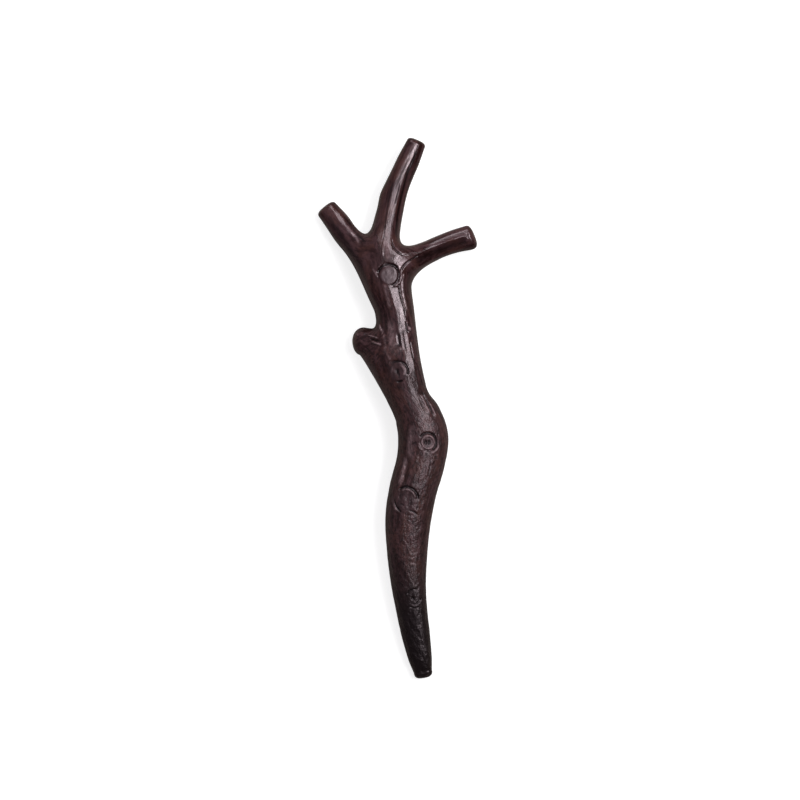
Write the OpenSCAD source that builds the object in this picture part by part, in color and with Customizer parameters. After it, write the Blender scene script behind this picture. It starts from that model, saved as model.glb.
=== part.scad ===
// Hair stick carved from one piece of dark wood: a kinked shaft with a blunt tip, three short
// tines at its crown, the stub of a side shoot on the left, and knots along its front.
// It lies flat: +Y runs from the tip to the crown, +Z is up, and z = 0 is what it lies on.

/* [Shaft] */
// Length of the shaft, from the fork down to its tip
shaft_l = 36.75; // [30:0.05:60]
// Width of the shaft at its widest
shaft_w = 4.7; // [3.6:0.1:7]
// Depth of the shaft at its deepest
shaft_d = 4.3; // [3:0.1:6]
// How far the kinks carry the tip to the right of the fork
shaft_sway = 3.4; // [0:0.05:6]
// How far the underside arches up off the surface between the tip and the crown
arch = 0.3; // [0:0.05:0.8]

/* [Crown] */
// Depth at the fork, where the three tines meet
fork_d = 4.1; // [3:0.1:6]
// Reach of the webs in the crotches between the tines
web_r = 1.3; // [0.8:0.05:2]
// Width of a tine
tine_w = 2.35; // [1.6:0.05:3.2]
// Depth of a tine
tine_d = 2.3; // [1.4:0.05:3.2]
// How far a tine bows to its left between the fork and its end
tine_bow = 0.75; // [0:0.05:1.2]
// Length of the middle tine from the fork
middle_l = 11.35; // [9:0.05:18]
// Length of the left tine from the fork
left_l = 7.35; // [6.5:0.05:12]
// Length of the right tine from the fork
right_l = 7.85; // [6.5:0.05:12]
// Turn of the middle tine to the right of straight up
middle_turn = 12.7; // [0:0.5:20]
// Turn of the left tine to the left of straight up
left_turn = 46.5; // [35:0.5:60]
// Turn of the right tine to the right of straight up
right_turn = 70.8; // [60:0.5:90]

/* [Stub] */
// Distance of the stub below the fork
stub_drop = 7.6; // [6.5:0.1:10]
// Length of the stub from the middle of the shaft
stub_l = 3.3; // [2.8:0.05:5]
// Width of the stub
stub_w = 2.1; // [1.4:0.05:2.8]
// Depth of the stub
stub_d = 2.5; // [1.4:0.05:3.2]
// Turn of the stub to the left of straight up
stub_turn = 76; // [60:1:95]

/* [Knots] */
// Radius of the largest knot
knot_r = 0.95; // [0.6:0.05:1.3]
// Height of a knot's collar over the wood round it
knot_h = 0.14; // [0.05:0.01:0.25]
// Width of the groove round a knot
groove_w = 0.22; // [0.1:0.01:0.3]
// Radius of the bud beside the stub
bud_r = 0.32; // [0.2:0.01:0.5]

/* [Hidden] */

// Each arm's table has a row for each section on its way out from the root:
// [share of the length, sideways share of the sway, half widths to the left and to the right as
// shares of the width, share of the depth, share of the arch]
shaft_rows = [
    [0.00, 0.00, 0.50, 0.50, 1.00, 1.0],
    [0.05, 0.04, 0.46, 0.44, 0.96, 1.0],
    [0.11, 0.21, 0.38, 0.38, 0.90, 1.0],
    [0.20, 0.30, 0.40, 0.42, 0.93, 1.1],
    [0.26, 0.35, 0.44, 0.45, 0.98, 1.1],
    [0.31, 0.49, 0.43, 0.39, 0.97, 1.1],
    [0.34, 0.66, 0.40, 0.40, 0.98, 1.0],
    [0.37, 0.83, 0.45, 0.44, 1.00, 1.0],
    [0.42, 0.94, 0.51, 0.46, 1.00, 1.0],
    [0.48, 0.90, 0.48, 0.46, 0.99, 0.9],
    [0.55, 0.71, 0.46, 0.46, 0.97, 0.8],
    [0.62, 0.60, 0.43, 0.46, 0.92, 0.6],
    [0.70, 0.57, 0.38, 0.41, 0.85, 0.4],
    [0.78, 0.61, 0.32, 0.36, 0.76, 0.2],
    [0.85, 0.70, 0.28, 0.32, 0.66, 0.1],
    [0.91, 0.80, 0.26, 0.29, 0.57, 0.0],
    [0.97, 0.92, 0.21, 0.24, 0.46, 0.0],
    [1.00, 0.98, 0.17, 0.19, 0.36, 0.0]
];
middle_rows = [
    [0.00, 0.00, 0.55, 0.55, 1.10, 1.0],
    [0.15, 0.70, 0.55, 0.55, 1.10, 1.4],
    [0.30, 1.00, 0.55, 0.53, 1.06, 2.0],
    [0.44, 1.00, 0.53, 0.49, 1.02, 2.4],
    [0.55, 0.98, 0.54, 0.47, 1.00, 2.6],
    [0.66, 0.82, 0.47, 0.45, 0.96, 2.8],
    [0.76, 0.52, 0.45, 0.43, 0.92, 2.9],
    [0.86, 0.21, 0.44, 0.42, 0.86, 3.0],
    [1.00, -0.20, 0.38, 0.37, 0.74, 3.2]
];
left_rows = [
    [0.00, 0.00, 0.55, 0.55, 1.10, 1.0],
    [0.25, 0.50, 0.52, 0.55, 1.08, 0.9],
    [0.45, 0.70, 0.50, 0.54, 1.04, 0.7],
    [0.63, 0.61, 0.48, 0.48, 1.00, 0.4],
    [0.80, 0.27, 0.47, 0.47, 0.96, 0.1],
    [1.00, 0.00, 0.42, 0.42, 0.86, 0.0]
];
right_rows = [
    [0.00, 0.00, 0.50, 0.50, 1.10, 1.0],
    [0.25, -0.08, 0.48, 0.48, 1.06, 0.9],
    [0.47, -0.08, 0.45, 0.44, 1.02, 0.7],
    [0.66, 0.12, 0.43, 0.43, 1.00, 0.4],
    [0.85, 0.14, 0.45, 0.45, 0.97, 0.1],
    [1.00, 0.00, 0.48, 0.48, 0.90, 0.0]
];
stub_rows = [
    [0.00, 0.00, 0.75, 0.75, 1.20, 1.5],
    [0.50, 0.00, 0.72, 0.68, 1.10, 1.7],
    [1.00, 0.00, 0.61, 0.60, 0.94, 1.9]
];

// Each knot: [share of the shaft from the fork, share of the half width to the left of the
// shaft's middle as it runs down, radius, height of its collar, radius of its pit]
knot_rows = [
    [0.024, 0.07, 1.00, 0.8, 0.00],
    [0.260, -0.08, 1.00, 1.0, 0.42],
    [0.434, 0.22, 0.62, 1.6, 0.60],
    [0.579, -0.23, 1.05, 1.0, 0.50],
    [0.816, 0.22, 0.66, 0.9, 0.45]
];
// The bud's place: share of the shaft from the fork, and of the half width to the left
bud_at = [0.156, 0.66];

// The web in each crotch of the crown, in order round it from the shaft: [how far it reaches along
// the arm before it and along the arm after it, past where their edges part, as shares of web_r,
// and how strongly its curve is pulled in towards the crotch]
right_under_web = [0.0, 1.0, 0.36];
right_web = [1.1, 0.6, 0.65];
left_web = [1.0, 1.8, 0.75];
left_under_web = [1.2, 0.0, 0.36];
// The stub's webs, over it and under it: [reach along the shaft as a share of the stub's width,
// reach along the stub as a share of its length, pull]
notch_web = [1.3, 0.80, 0.45];
stub_under_web = [1.7, 1.00, 0.06];
// Blunt ends: [bulge past the last section and slant towards the left edge, as shares of the half
// width, and how square the end is]
middle_end = [0.50, 0.00, 2.9];
left_end = [0.50, 0.00, 2.9];
right_end = [0.55, -0.12, 2.9];
stub_end = [0.76, -0.12, 2.0];
tip_end = [0.75, 0.00, 2.9];

// Steps along each arm, round a blunt end, from the edge up to the ridge, and round a knot
UPPER_STEPS = 14;
LOWER_STEPS = 38;
MIDDLE_STEPS = 18;
SIDE_STEPS = 13;
STUB_STEPS = 8;
END_STEPS = 9;
RIB_STEPS = 6;
KNOT_FN = 24;

// How square a section is: 2 is an ellipse. An arm's end is squarer than the rest of it.
BODY_SQUARE = 2.1;
END_SQUARE = 2.9;
SQUARING_FROM = 0.8;
// Lengths over which an arm's depth leaves its root's, as shares of web_r
SHAFT_LEAVES = 3;
TINE_LEAVES = 4;
// Widest turn between two arms whose edges still cross, and a small step for finding directions
WIDEST_CROTCH = 120;
NUDGE = 0.01;

// What a station holds: its middle, half depth, height of the middle, edges, ridge number and
// squareness
MIDDLE = 0;
HALF = 1;
HEIGHT = 2;
LEFT = 3;
RIGHT = 4;
RIDGE = 5;
SQUARE = 6;

function unit(v) = v / norm(v);
function mix(a, b, t) = a + (b - a) * t;
function smooth(t) = let (c = max(0, min(1, t))) c * c * (3 - 2 * c);
function bezier(p, q, r, s, t) =
    p * pow(1 - t, 3) + 3 * q * t * pow(1 - t, 2) + 3 * r * t * t * (1 - t) + s * pow(t, 3);

// A column of a table at share u, on a smooth curve through its rows
function slope(rows, i, col) =
    let (a = rows[max(i - 1, 0)], b = rows[min(i + 1, len(rows) - 1)])
    (b[col] - a[col]) / (b[0] - a[0]);
function at(rows, u, col) =
    let (
        i = max([for (j = [0 : len(rows) - 2]) if (j == 0 || u >= rows[j][0]) j]),
        w = rows[i + 1][0] - rows[i][0],
        t = (u - rows[i][0]) / w
    )
    rows[i][col] * (1 + 2 * t) * pow(1 - t, 2) + rows[i + 1][col] * t * t * (3 - 2 * t)
        + w * slope(rows, i, col) * t * pow(1 - t, 2)
        - w * slope(rows, i + 1, col) * t * t * (1 - t);

// Middle line of an arm, and its stations. An arm is [root point, turn to the left of straight up,
// length, sway, width, depth, table, length over which its depth leaves the root's].
function line(arm, u) =
    let (out = [-sin(arm[1]), cos(arm[1])])
    arm[0] + out * arm[2] * u + [-out.y, out.x] * arm[3] * at(arm[6], u, 1);
function across(arm, u) = let (d = unit(line(arm, u + NUDGE) - line(arm, u - NUDGE))) [-d.y, d.x];
function station(arm, u, root_half, root_height, ridge) =
    let (
        left = across(arm, u),
        own = arm[5] / 2 * at(arm[6], u, 4),
        leave = smooth(u * arm[2] / arm[7])
    )
    [
        line(arm, u),
        mix(root_half, own, leave),
        mix(root_height, own + arch * at(arm[6], u, 5), leave),
        line(arm, u) + left * arm[4] * at(arm[6], u, 2),
        line(arm, u) - left * arm[4] * at(arm[6], u, 3),
        ridge,
        mix(BODY_SQUARE, END_SQUARE, smooth((u - SQUARING_FROM) / (1 - SQUARING_FROM)))
    ];
function side_arm(arm, root, steps, ridge) =
    concat([root], [for (i = [1 : steps]) station(arm, i / steps, root[HALF], root[HEIGHT], ridge + i)]);

// The shaft runs down from the fork, and the stub stands on it.
shaft = [[0, 0], 180, shaft_l, shaft_sway, shaft_w, shaft_d, shaft_rows, web_r * SHAFT_LEAVES];
stub_u = stub_drop / shaft_l;
shaft_shares = concat(
    [for (i = [0 : UPPER_STEPS]) stub_u * i / UPPER_STEPS],
    [for (i = [1 : LOWER_STEPS]) mix(stub_u, 1, i / LOWER_STEPS)]
);
function shaft_station(u, ridge) = station(shaft, u, fork_d / 2, fork_d / 2 + arch, ridge);
shaft_run = [for (i = [0 : len(shaft_shares) - 1]) shaft_station(shaft_shares[i], i)];
upper = [for (i = [0 : UPPER_STEPS]) shaft_run[i]];
upper_back = [for (i = [UPPER_STEPS : -1 : 0]) shaft_run[i]];
lower = [for (i = [UPPER_STEPS : len(shaft_run) - 1]) shaft_run[i]];

fork = shaft_run[0];
stub_root = shaft_run[UPPER_STEPS];
function tine(turn, l, rows) = [[0, 0], turn, l, tine_bow, tine_w, tine_d, rows, web_r * TINE_LEAVES];
middle_arm = tine(-middle_turn, middle_l, middle_rows);
left_arm = tine(left_turn, left_l, left_rows);
right_arm = tine(-right_turn, right_l, right_rows);
stub_arm = [stub_root[MIDDLE], stub_turn, stub_l, 0, stub_w, stub_d, stub_rows, stub_l];

middle_ridge = len(shaft_run) - 1;
left_ridge = middle_ridge + MIDDLE_STEPS;
right_ridge = left_ridge + SIDE_STEPS;
stub_ridge = right_ridge + SIDE_STEPS;
middle = side_arm(middle_arm, fork, MIDDLE_STEPS, middle_ridge);
left = side_arm(left_arm, fork, SIDE_STEPS, left_ridge);
right = side_arm(right_arm, fork, SIDE_STEPS, right_ridge);
stub = side_arm(stub_arm, stub_root, STUB_STEPS, stub_ridge);
ridges = concat(
    shaft_run,
    [for (i = [1 : MIDDLE_STEPS]) middle[i]],
    [for (i = [1 : SIDE_STEPS]) left[i]],
    [for (i = [1 : SIDE_STEPS]) right[i]],
    [for (i = [1 : STUB_STEPS]) stub[i]]
);

// The outline is walked round with the wood on its left. Each stop is [ridge number, point,
// squareness]: a rib of wood rises from the point to the ridge, above and below.
function stop(s, edge) = [s[RIDGE], s[edge], s[SQUARE]];
function free_edge(arm, edge, from, to) =
    [for (i = [from : (to > from ? 1 : -1) : to]) stop(arm[i], edge)];

// Last station of an arm that a web reaching this far from the root covers
function held(arm, reach) =
    max([for (i = [0 : len(arm) - 2]) if (i == 0 || norm(arm[i][0] - arm[0][0]) < reach) i]);
// Direction of an edge at station i, towards the root
function inward(arm, edge, i) =
    let (k = min(i, len(arm) - 2)) unit(arm[k][edge] - arm[k + 1][edge]);
// Web from an edge of arm a, round their shared root, to an edge of arm b
function web(a, a_edge, a_reach, b, b_edge, b_reach, pull) =
    let (
        i = held(a, a_reach), j = held(b, b_reach),
        p = a[i + 1][a_edge], q = b[j + 1][b_edge],
        h = pull * norm(q - p),
        p_in = p + h * inward(a, a_edge, i + 1),
        q_in = q + h * inward(b, b_edge, j + 1),
        under = concat([for (k = [i : -1 : 0]) a[k]], [for (k = [1 : 1 : j]) b[k]])
    )
    [
        for (k = [0 : len(under) - 1])
            [under[k][RIDGE], bezier(p, p_in, q_in, q, (k + 1) / (i + j + 2)), BODY_SQUARE]
    ];
// Blunt end of an arm
function blunt_end(arm, shape) =
    let (
        s = arm[len(arm) - 1],
        centre = (s[LEFT] + s[RIGHT]) / 2,
        half = (s[LEFT] - s[RIGHT]) / 2,
        out = [half.y, -half.x]
    )
    [
        for (i = [1 : END_STEPS - 1])
            let (
                f = 180 * i / END_STEPS - 90,
                side = sign(f) * pow(abs(sin(f)), 2 / shape[2]),
                reach = pow(cos(f), 2 / shape[2])
            )
            [s[RIDGE], centre + half * side + out * reach * (shape[0] + shape[1] * side), END_SQUARE]
    ];

// Distance from the fork at which the edges of two tines part, and how far the webs reach
function part_at(turn) =
    let (t = min(WIDEST_CROTCH, turn)) tine_w * (1 + cos(t)) / 2 / sin(t);
right_gap = part_at(right_turn - middle_turn);
left_gap = part_at(left_turn + middle_turn);
shaft_reach = shaft_w / 2;
right_under_reach = shaft_w / 2 + web_r * right_under_web[1];
right_reach = right_gap + web_r * right_web[0];
middle_right_reach = right_gap + web_r * right_web[1];
middle_left_reach = left_gap + web_r * left_web[0];
left_reach = left_gap + web_r * left_web[1];
left_under_reach = shaft_w / 2 + web_r * left_under_web[0];
notch_reach = stub_w * notch_web[0];
notch_stub_reach = stub_l * notch_web[1];
under_reach = stub_w * stub_under_web[0];
under_stub_reach = stub_l * stub_under_web[1];

walk = concat(
    free_edge(lower, LEFT, LOWER_STEPS, 1),
    free_edge(upper, LEFT, UPPER_STEPS, held(upper, shaft_reach) + 1),
    web(upper, LEFT, shaft_reach, right, RIGHT, right_under_reach, right_under_web[2]),
    free_edge(right, RIGHT, held(right, right_under_reach) + 1, SIDE_STEPS),
    blunt_end(right, right_end),
    free_edge(right, LEFT, SIDE_STEPS, held(right, right_reach) + 1),
    web(right, LEFT, right_reach, middle, RIGHT, middle_right_reach, right_web[2]),
    free_edge(middle, RIGHT, held(middle, middle_right_reach) + 1, MIDDLE_STEPS),
    blunt_end(middle, middle_end),
    free_edge(middle, LEFT, MIDDLE_STEPS, held(middle, middle_left_reach) + 1),
    web(middle, LEFT, middle_left_reach, left, RIGHT, left_reach, left_web[2]),
    free_edge(left, RIGHT, held(left, left_reach) + 1, SIDE_STEPS),
    blunt_end(left, left_end),
    free_edge(left, LEFT, SIDE_STEPS, held(left, left_under_reach) + 1),
    web(left, LEFT, left_under_reach, upper, RIGHT, shaft_reach, left_under_web[2]),
    free_edge(upper, RIGHT, held(upper, shaft_reach) + 1, UPPER_STEPS - held(upper_back, notch_reach) - 1),
    web(upper_back, RIGHT, notch_reach, stub, RIGHT, notch_stub_reach, notch_web[2]),
    free_edge(stub, RIGHT, held(stub, notch_stub_reach) + 1, STUB_STEPS),
    blunt_end(stub, stub_end),
    free_edge(stub, LEFT, STUB_STEPS, held(stub, under_stub_reach) + 1),
    web(stub, LEFT, under_stub_reach, lower, RIGHT, under_reach, stub_under_web[2]),
    free_edge(lower, RIGHT, held(lower, under_reach) + 1, LOWER_STEPS),
    blunt_end(lower, tip_end)
);

// The whole stick is moved so that its outline is centred and its underside is at z = 0.
function middle_of(values) = (min(values) + max(values)) / 2;
home = -[
    middle_of([for (s = walk) s[1].x]),
    middle_of([for (s = walk) s[1].y]),
    min([for (r = ridges) r[HEIGHT] - r[HALF]])
];

// A rib's point: i counts from its edge to its ridge, and side is 1 above and -1 below.
function rib_point(s, i, side) =
    let (r = ridges[s[0]], f = 90 * i / RIB_STEPS, flat = mix(r[MIDDLE], s[1], pow(cos(f), 2 / s[2])))
    [flat.x, flat.y, r[HEIGHT] + side * r[HALF] * pow(sin(f), 2 / s[2])];
function faces_of_step(a, b) =
    [for (f = [[a[0], a[1], b[1]], [a[0], b[1], b[0]]]) if (f[0] != f[1] && f[1] != f[2] && f[2] != f[0]) f];

module timber() {
    stops = len(walk);
    inner = RIB_STEPS - 1;
    points = concat(
        [for (s = walk) rib_point(s, 0, 1)],
        [for (side = [1, -1]) for (s = walk) for (i = [1 : inner]) rib_point(s, i, side)],
        [for (side = [1, -1]) for (r = ridges) [r[MIDDLE].x, r[MIDDLE].y, r[HEIGHT] + side * r[HALF]]]
    );
    // Number of a rib's point. skin is 0 above and 1 below.
    function number(k, i, skin) =
        i == 0 ? k
        : i < RIB_STEPS ? stops * (1 + skin * inner) + k * inner + i - 1
        : stops * (1 + 2 * inner) + skin * len(ridges) + walk[k][0];
    faces = [
        for (skin = [0, 1]) for (k = [0 : stops - 1]) for (i = [0 : RIB_STEPS - 1])
            let (
                next = (k + 1) % stops,
                here = [number(k, i, skin), number(k, i + 1, skin)],
                there = [number(next, i, skin), number(next, i + 1, skin)]
            )
            each skin == 0 ? faces_of_step(here, there) : faces_of_step(there, here)
    ];
    polyhedron(points, faces, convexity = 6);
}

// Point on the upper skin of the shaft, at a share of its length and of its half width
function skin_point(u, side) =
    let (
        s = shaft_station(u, 0),
        edge = side > 0 ? s[LEFT] : s[RIGHT],
        flat = mix(s[MIDDLE], edge, abs(side)),
        rise = pow(1 - pow(abs(side), s[SQUARE]), 1 / s[SQUARE])
    )
    [flat.x, flat.y, s[HEIGHT] + s[HALF] * rise];
// Sets its children on the skin with their +Z straight out of it
module on_skin(u, side) {
    lengthwise = skin_point(u + NUDGE, side) - skin_point(u - NUDGE, side);
    sideways = skin_point(u, side + NUDGE) - skin_point(u, side - NUDGE);
    out = cross(sideways, -lengthwise) / norm(cross(sideways, lengthwise));
    translate(skin_point(u, side))
        rotate([0, acos(out.z), atan2(out.y, out.x)])
            children();
}

module knot_collar(r, h) {
    hull() {
        translate([0, 0, -r / 2]) cylinder(r = r, h = r / 2, $fn = KNOT_FN);
        cylinder(r = r * 0.8, h = h, $fn = KNOT_FN);
    }
}
module knot_groove(r, w) {
    rotate_extrude($fn = KNOT_FN) translate([r, 0]) circle(d = w, $fn = 6);
}
module knot_pit(r, h) {
    hull() {
        translate([0, 0, h]) sphere(r = r, $fn = 16);
        translate([0, 0, -r / 2]) sphere(r = r / 2, $fn = 12);
    }
}

module stick() {
    color([0.24, 0.17, 0.17])
        translate(home)
            difference() {
                union() {
                    timber();
                    for (k = knot_rows) on_skin(k[0], k[1]) knot_collar(knot_r * k[2], knot_h * k[3]);
                    on_skin(bud_at[0], bud_at[1]) sphere(r = bud_r, $fn = KNOT_FN / 2);
                }
                for (k = knot_rows) on_skin(k[0], k[1]) {
                    knot_groove(knot_r * k[2] + groove_w / 2, groove_w);
                    if (k[4] > 0) knot_pit(knot_r * k[2] * k[4], knot_h * k[3]);
                }
            }
}

stick();
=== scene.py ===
"""Looks of a hair stick carved from one piece of dark wood, on a pale floor."""

import math

import bpy
import numpy as np
from mathutils import Matrix, Vector, kdtree, noise


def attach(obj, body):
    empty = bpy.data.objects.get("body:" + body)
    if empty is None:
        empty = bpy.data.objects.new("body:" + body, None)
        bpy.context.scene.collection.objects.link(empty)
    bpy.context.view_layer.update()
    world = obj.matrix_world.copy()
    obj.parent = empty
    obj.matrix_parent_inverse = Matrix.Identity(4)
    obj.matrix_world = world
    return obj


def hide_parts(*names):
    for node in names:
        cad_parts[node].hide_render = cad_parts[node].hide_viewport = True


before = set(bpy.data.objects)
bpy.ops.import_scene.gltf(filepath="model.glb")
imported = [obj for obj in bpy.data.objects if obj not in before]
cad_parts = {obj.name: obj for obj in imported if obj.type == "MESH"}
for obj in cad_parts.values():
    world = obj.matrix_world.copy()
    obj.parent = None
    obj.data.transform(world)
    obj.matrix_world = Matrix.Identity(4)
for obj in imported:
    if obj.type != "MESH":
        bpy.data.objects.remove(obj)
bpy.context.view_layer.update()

# Shaft
# A wandering taper of dense dark wood, kinked at its middle and blunt at its tip. It is carved
# by eye, so each row of its table is a section: how far along it stands, how far it strays to
# the left of a straight line down, its two half widths, its depth and its arch off the surface.
SHAFT_LENGTH = 36.75
SHAFT_WIDTH = 4.7
SHAFT_DEPTH = 4.3
SHAFT_SWAY = 3.4
ARCH = 0.3
FORK_DEPTH = 4.1
SHAFT_ROWS = [
    [0.00, 0.00, 0.50, 0.50, 1.00, 1.0],
    [0.05, 0.04, 0.46, 0.44, 0.96, 1.0],
    [0.11, 0.21, 0.38, 0.38, 0.90, 1.0],
    [0.20, 0.30, 0.40, 0.42, 0.93, 1.1],
    [0.26, 0.35, 0.44, 0.45, 0.98, 1.1],
    [0.31, 0.49, 0.43, 0.39, 0.97, 1.1],
    [0.34, 0.66, 0.40, 0.40, 0.98, 1.0],
    [0.37, 0.83, 0.45, 0.44, 1.00, 1.0],
    [0.42, 0.94, 0.51, 0.46, 1.00, 1.0],
    [0.48, 0.90, 0.48, 0.46, 0.99, 0.9],
    [0.55, 0.71, 0.46, 0.46, 0.97, 0.8],
    [0.62, 0.60, 0.43, 0.46, 0.92, 0.6],
    [0.70, 0.57, 0.38, 0.41, 0.85, 0.4],
    [0.78, 0.61, 0.32, 0.36, 0.76, 0.2],
    [0.85, 0.70, 0.28, 0.32, 0.66, 0.1],
    [0.91, 0.80, 0.26, 0.29, 0.57, 0.0],
    [0.97, 0.92, 0.21, 0.24, 0.46, 0.0],
    [1.00, 0.98, 0.17, 0.19, 0.36, 0.0],
]
# How square a shape is, where 2 is an ellipse: a limb's sections, and the outline of its cut end
BODY_SQUARE = 2.1
END_SQUARE = 2.9
LEFT = 1
RIGHT = -1
# Depths leave the fork's own over these lengths.
SHAFT_LEAVES_OVER = 3.9
TINE_LEAVES_OVER = 5.2
# The way that a limb points is read over this share of its length to each side.
NEARBY = 0.01


def smooth(t):
    t = np.clip(t, 0.0, 1.0)
    return t * t * (3 - 2 * t)


def mix(a, b, t):
    return a + (b - a) * t


def column(rows, share, number):
    """A column of a section table at these shares, on a smooth curve through its rows."""
    table = np.array(rows)
    stands = table[:, 0]
    values = table[:, number]
    count = len(table)
    before = np.maximum(np.arange(count) - 1, 0)
    after = np.minimum(np.arange(count) + 1, count - 1)
    slopes = (values[after] - values[before]) / (stands[after] - stands[before])
    i = np.clip(np.searchsorted(stands, share, side="right") - 1, 0, count - 2)
    gap = stands[i + 1] - stands[i]
    t = (share - stands[i]) / gap
    rise = values[i] * (1 + 2 * t) * (1 - t) ** 2 + values[i + 1] * t * t * (3 - 2 * t)
    return rise + gap * (slopes[i] * t * (1 - t) ** 2 - slopes[i + 1] * t * t * (1 - t))


class Arm:
    """A limb of the stick: its middle line, its edges, its depth and its height, in mm."""

    def __init__(self, root, turn, length, sway, width, depth, rows, leaves_over, at_root):
        angle = math.radians(turn)
        self.root = np.array(root)
        self.out = np.array([-math.sin(angle), math.cos(angle)])
        self.left = np.array([-self.out[1], self.out[0]])
        self.length = length
        self.sway = sway
        self.width = width
        self.depth = depth
        self.rows = rows
        self.leaves_over = leaves_over
        self.root_half, self.root_height = at_root

    def middle(self, share):
        stray = self.sway * column(self.rows, share, 1)
        return self.root + np.multiply.outer(self.length * share, self.out) \
            + np.multiply.outer(stray, self.left)

    def sideways(self, share):
        step = self.middle(share + NEARBY) - self.middle(share - NEARBY)
        step /= np.linalg.norm(step, axis=-1, keepdims=True)
        return np.stack([-step[..., 1], step[..., 0]], axis=-1)

    def edge(self, share, side):
        half = self.width * column(self.rows, share, 2 if side == LEFT else 3)
        return self.middle(share) + side * self.sideways(share) * half[..., None]

    def half_and_height(self, share):
        own = self.depth / 2 * column(self.rows, share, 4)
        leave = smooth(share * self.length / self.leaves_over)
        half = mix(self.root_half, own, leave)
        return half, mix(self.root_height, own + ARCH * column(self.rows, share, 5), leave)


# Half the fork's depth, and how high its middle lies
at_fork = (FORK_DEPTH / 2, FORK_DEPTH / 2 + ARCH)
# The crest of the shaft wanders off its middle: [share of the length, mm to the viewer's right].
SHAFT_CREST = [[0.0, -0.35], [0.04, -0.15], [0.08, 0.08], [0.13, 0.27], [0.18, 0.42],
               [0.235, 0.70], [0.29, 0.55], [0.33, 0.27], [0.36, 0.05], [0.42, 0.0],
               [0.68, 0.0], [0.84, 0.30], [1.0, 0.28]]
shaft = Arm((0, 0), 180, SHAFT_LENGTH, SHAFT_SWAY, SHAFT_WIDTH, SHAFT_DEPTH, SHAFT_ROWS,
            SHAFT_LEAVES_OVER, at_fork)

# Crown
# Three short tines branch from the head of the shaft, cut from the same piece, with a soft web
# in each crotch. They are round, a little bowed, and their ends are sawn off and rubbed round.
TINE_WIDTH = 2.35
TINE_DEPTH = 2.3
TINE_BOW = 0.75
MIDDLE_LENGTH = 11.35
LEFT_LENGTH = 7.35
RIGHT_LENGTH = 7.85
MIDDLE_TURN = -12.7
LEFT_TURN = 46.5
RIGHT_TURN = -70.8
MIDDLE_ROWS = [
    [0.00, 0.00, 0.55, 0.55, 1.10, 1.0],
    [0.15, 0.70, 0.55, 0.55, 1.10, 1.4],
    [0.30, 1.00, 0.55, 0.53, 1.06, 2.0],
    [0.44, 1.00, 0.53, 0.49, 1.02, 2.4],
    [0.55, 0.98, 0.54, 0.47, 1.00, 2.6],
    [0.66, 0.82, 0.47, 0.45, 0.96, 2.8],
    [0.76, 0.52, 0.45, 0.43, 0.92, 2.9],
    [0.86, 0.21, 0.44, 0.42, 0.86, 3.0],
    [1.00, -0.20, 0.38, 0.37, 0.74, 3.2],
]
LEFT_ROWS = [
    [0.00, 0.00, 0.55, 0.55, 1.10, 1.0],
    [0.25, 0.50, 0.52, 0.55, 1.08, 0.9],
    [0.45, 0.70, 0.50, 0.54, 1.04, 0.7],
    [0.63, 0.61, 0.48, 0.48, 1.00, 0.4],
    [0.80, 0.27, 0.47, 0.47, 0.96, 0.1],
    [1.00, 0.00, 0.42, 0.42, 0.86, 0.0],
]
RIGHT_ROWS = [
    [0.00, 0.00, 0.50, 0.50, 1.10, 1.0],
    [0.25, -0.08, 0.48, 0.48, 1.06, 0.9],
    [0.47, -0.08, 0.45, 0.44, 1.02, 0.7],
    [0.66, 0.12, 0.43, 0.43, 1.00, 0.4],
    [0.85, 0.14, 0.45, 0.45, 0.97, 0.1],
    [1.00, 0.00, 0.48, 0.48, 0.90, 0.0],
]
# The middle tine's crest wanders to the viewer's left.
MIDDLE_CREST = [[0.0, -0.35], [0.2, -0.18], [0.45, -0.20], [0.62, -0.31], [0.78, -0.38],
                [1.0, -0.26]]
# The right tine's crest lies towards the crown.
RIGHT_CREST = [[0.0, 0.0], [0.3, 0.06], [0.6, 0.12], [1.0, 0.12]]


def tine(turn, length, rows):
    return Arm((0, 0), turn, length, TINE_BOW, TINE_WIDTH, TINE_DEPTH, rows,
               TINE_LEAVES_OVER, at_fork)


middle_tine = tine(MIDDLE_TURN, MIDDLE_LENGTH, MIDDLE_ROWS)
left_tine = tine(LEFT_TURN, LEFT_LENGTH, LEFT_ROWS)
right_tine = tine(RIGHT_TURN, RIGHT_LENGTH, RIGHT_ROWS)

# Stub
# The stump of a side shoot on the left of the shaft, cut off short and rounded, deeper at its
# root than at its end. The carver left a sharp notch over it.
STUB_DROP = 7.6
STUB_LENGTH = 3.3
STUB_WIDTH = 2.1
STUB_DEPTH = 2.5
STUB_TURN = 76
STUB_ROWS = [
    [0.00, 0.00, 0.75, 0.75, 1.20, 1.5],
    [0.50, 0.00, 0.72, 0.68, 1.10, 1.7],
    [1.00, 0.00, 0.61, 0.60, 0.94, 1.9],
]
stub_share = STUB_DROP / SHAFT_LENGTH
stub_root = shaft.middle(np.array([stub_share]))[0]
at_stub = [values[0] for values in shaft.half_and_height(np.array([stub_share]))]
stub = Arm(stub_root, STUB_TURN, STUB_LENGTH, 0, STUB_WIDTH, STUB_DEPTH, STUB_ROWS,
           STUB_LENGTH, at_stub)

# Outline and webs
# The outline is walked round with the wood on its left. Ribs rise from each stop on it to the
# ridge of the limb that it belongs to. A web's ribs fan over the two limbs that it joins.

# Sections along each stretch of a limb: a web ends at one of them
SECTIONS = {"upper": 14, "lower": 38, "middle": 18, "side": 13, "stub": 8}
WEB_REACH = 1.3
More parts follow.
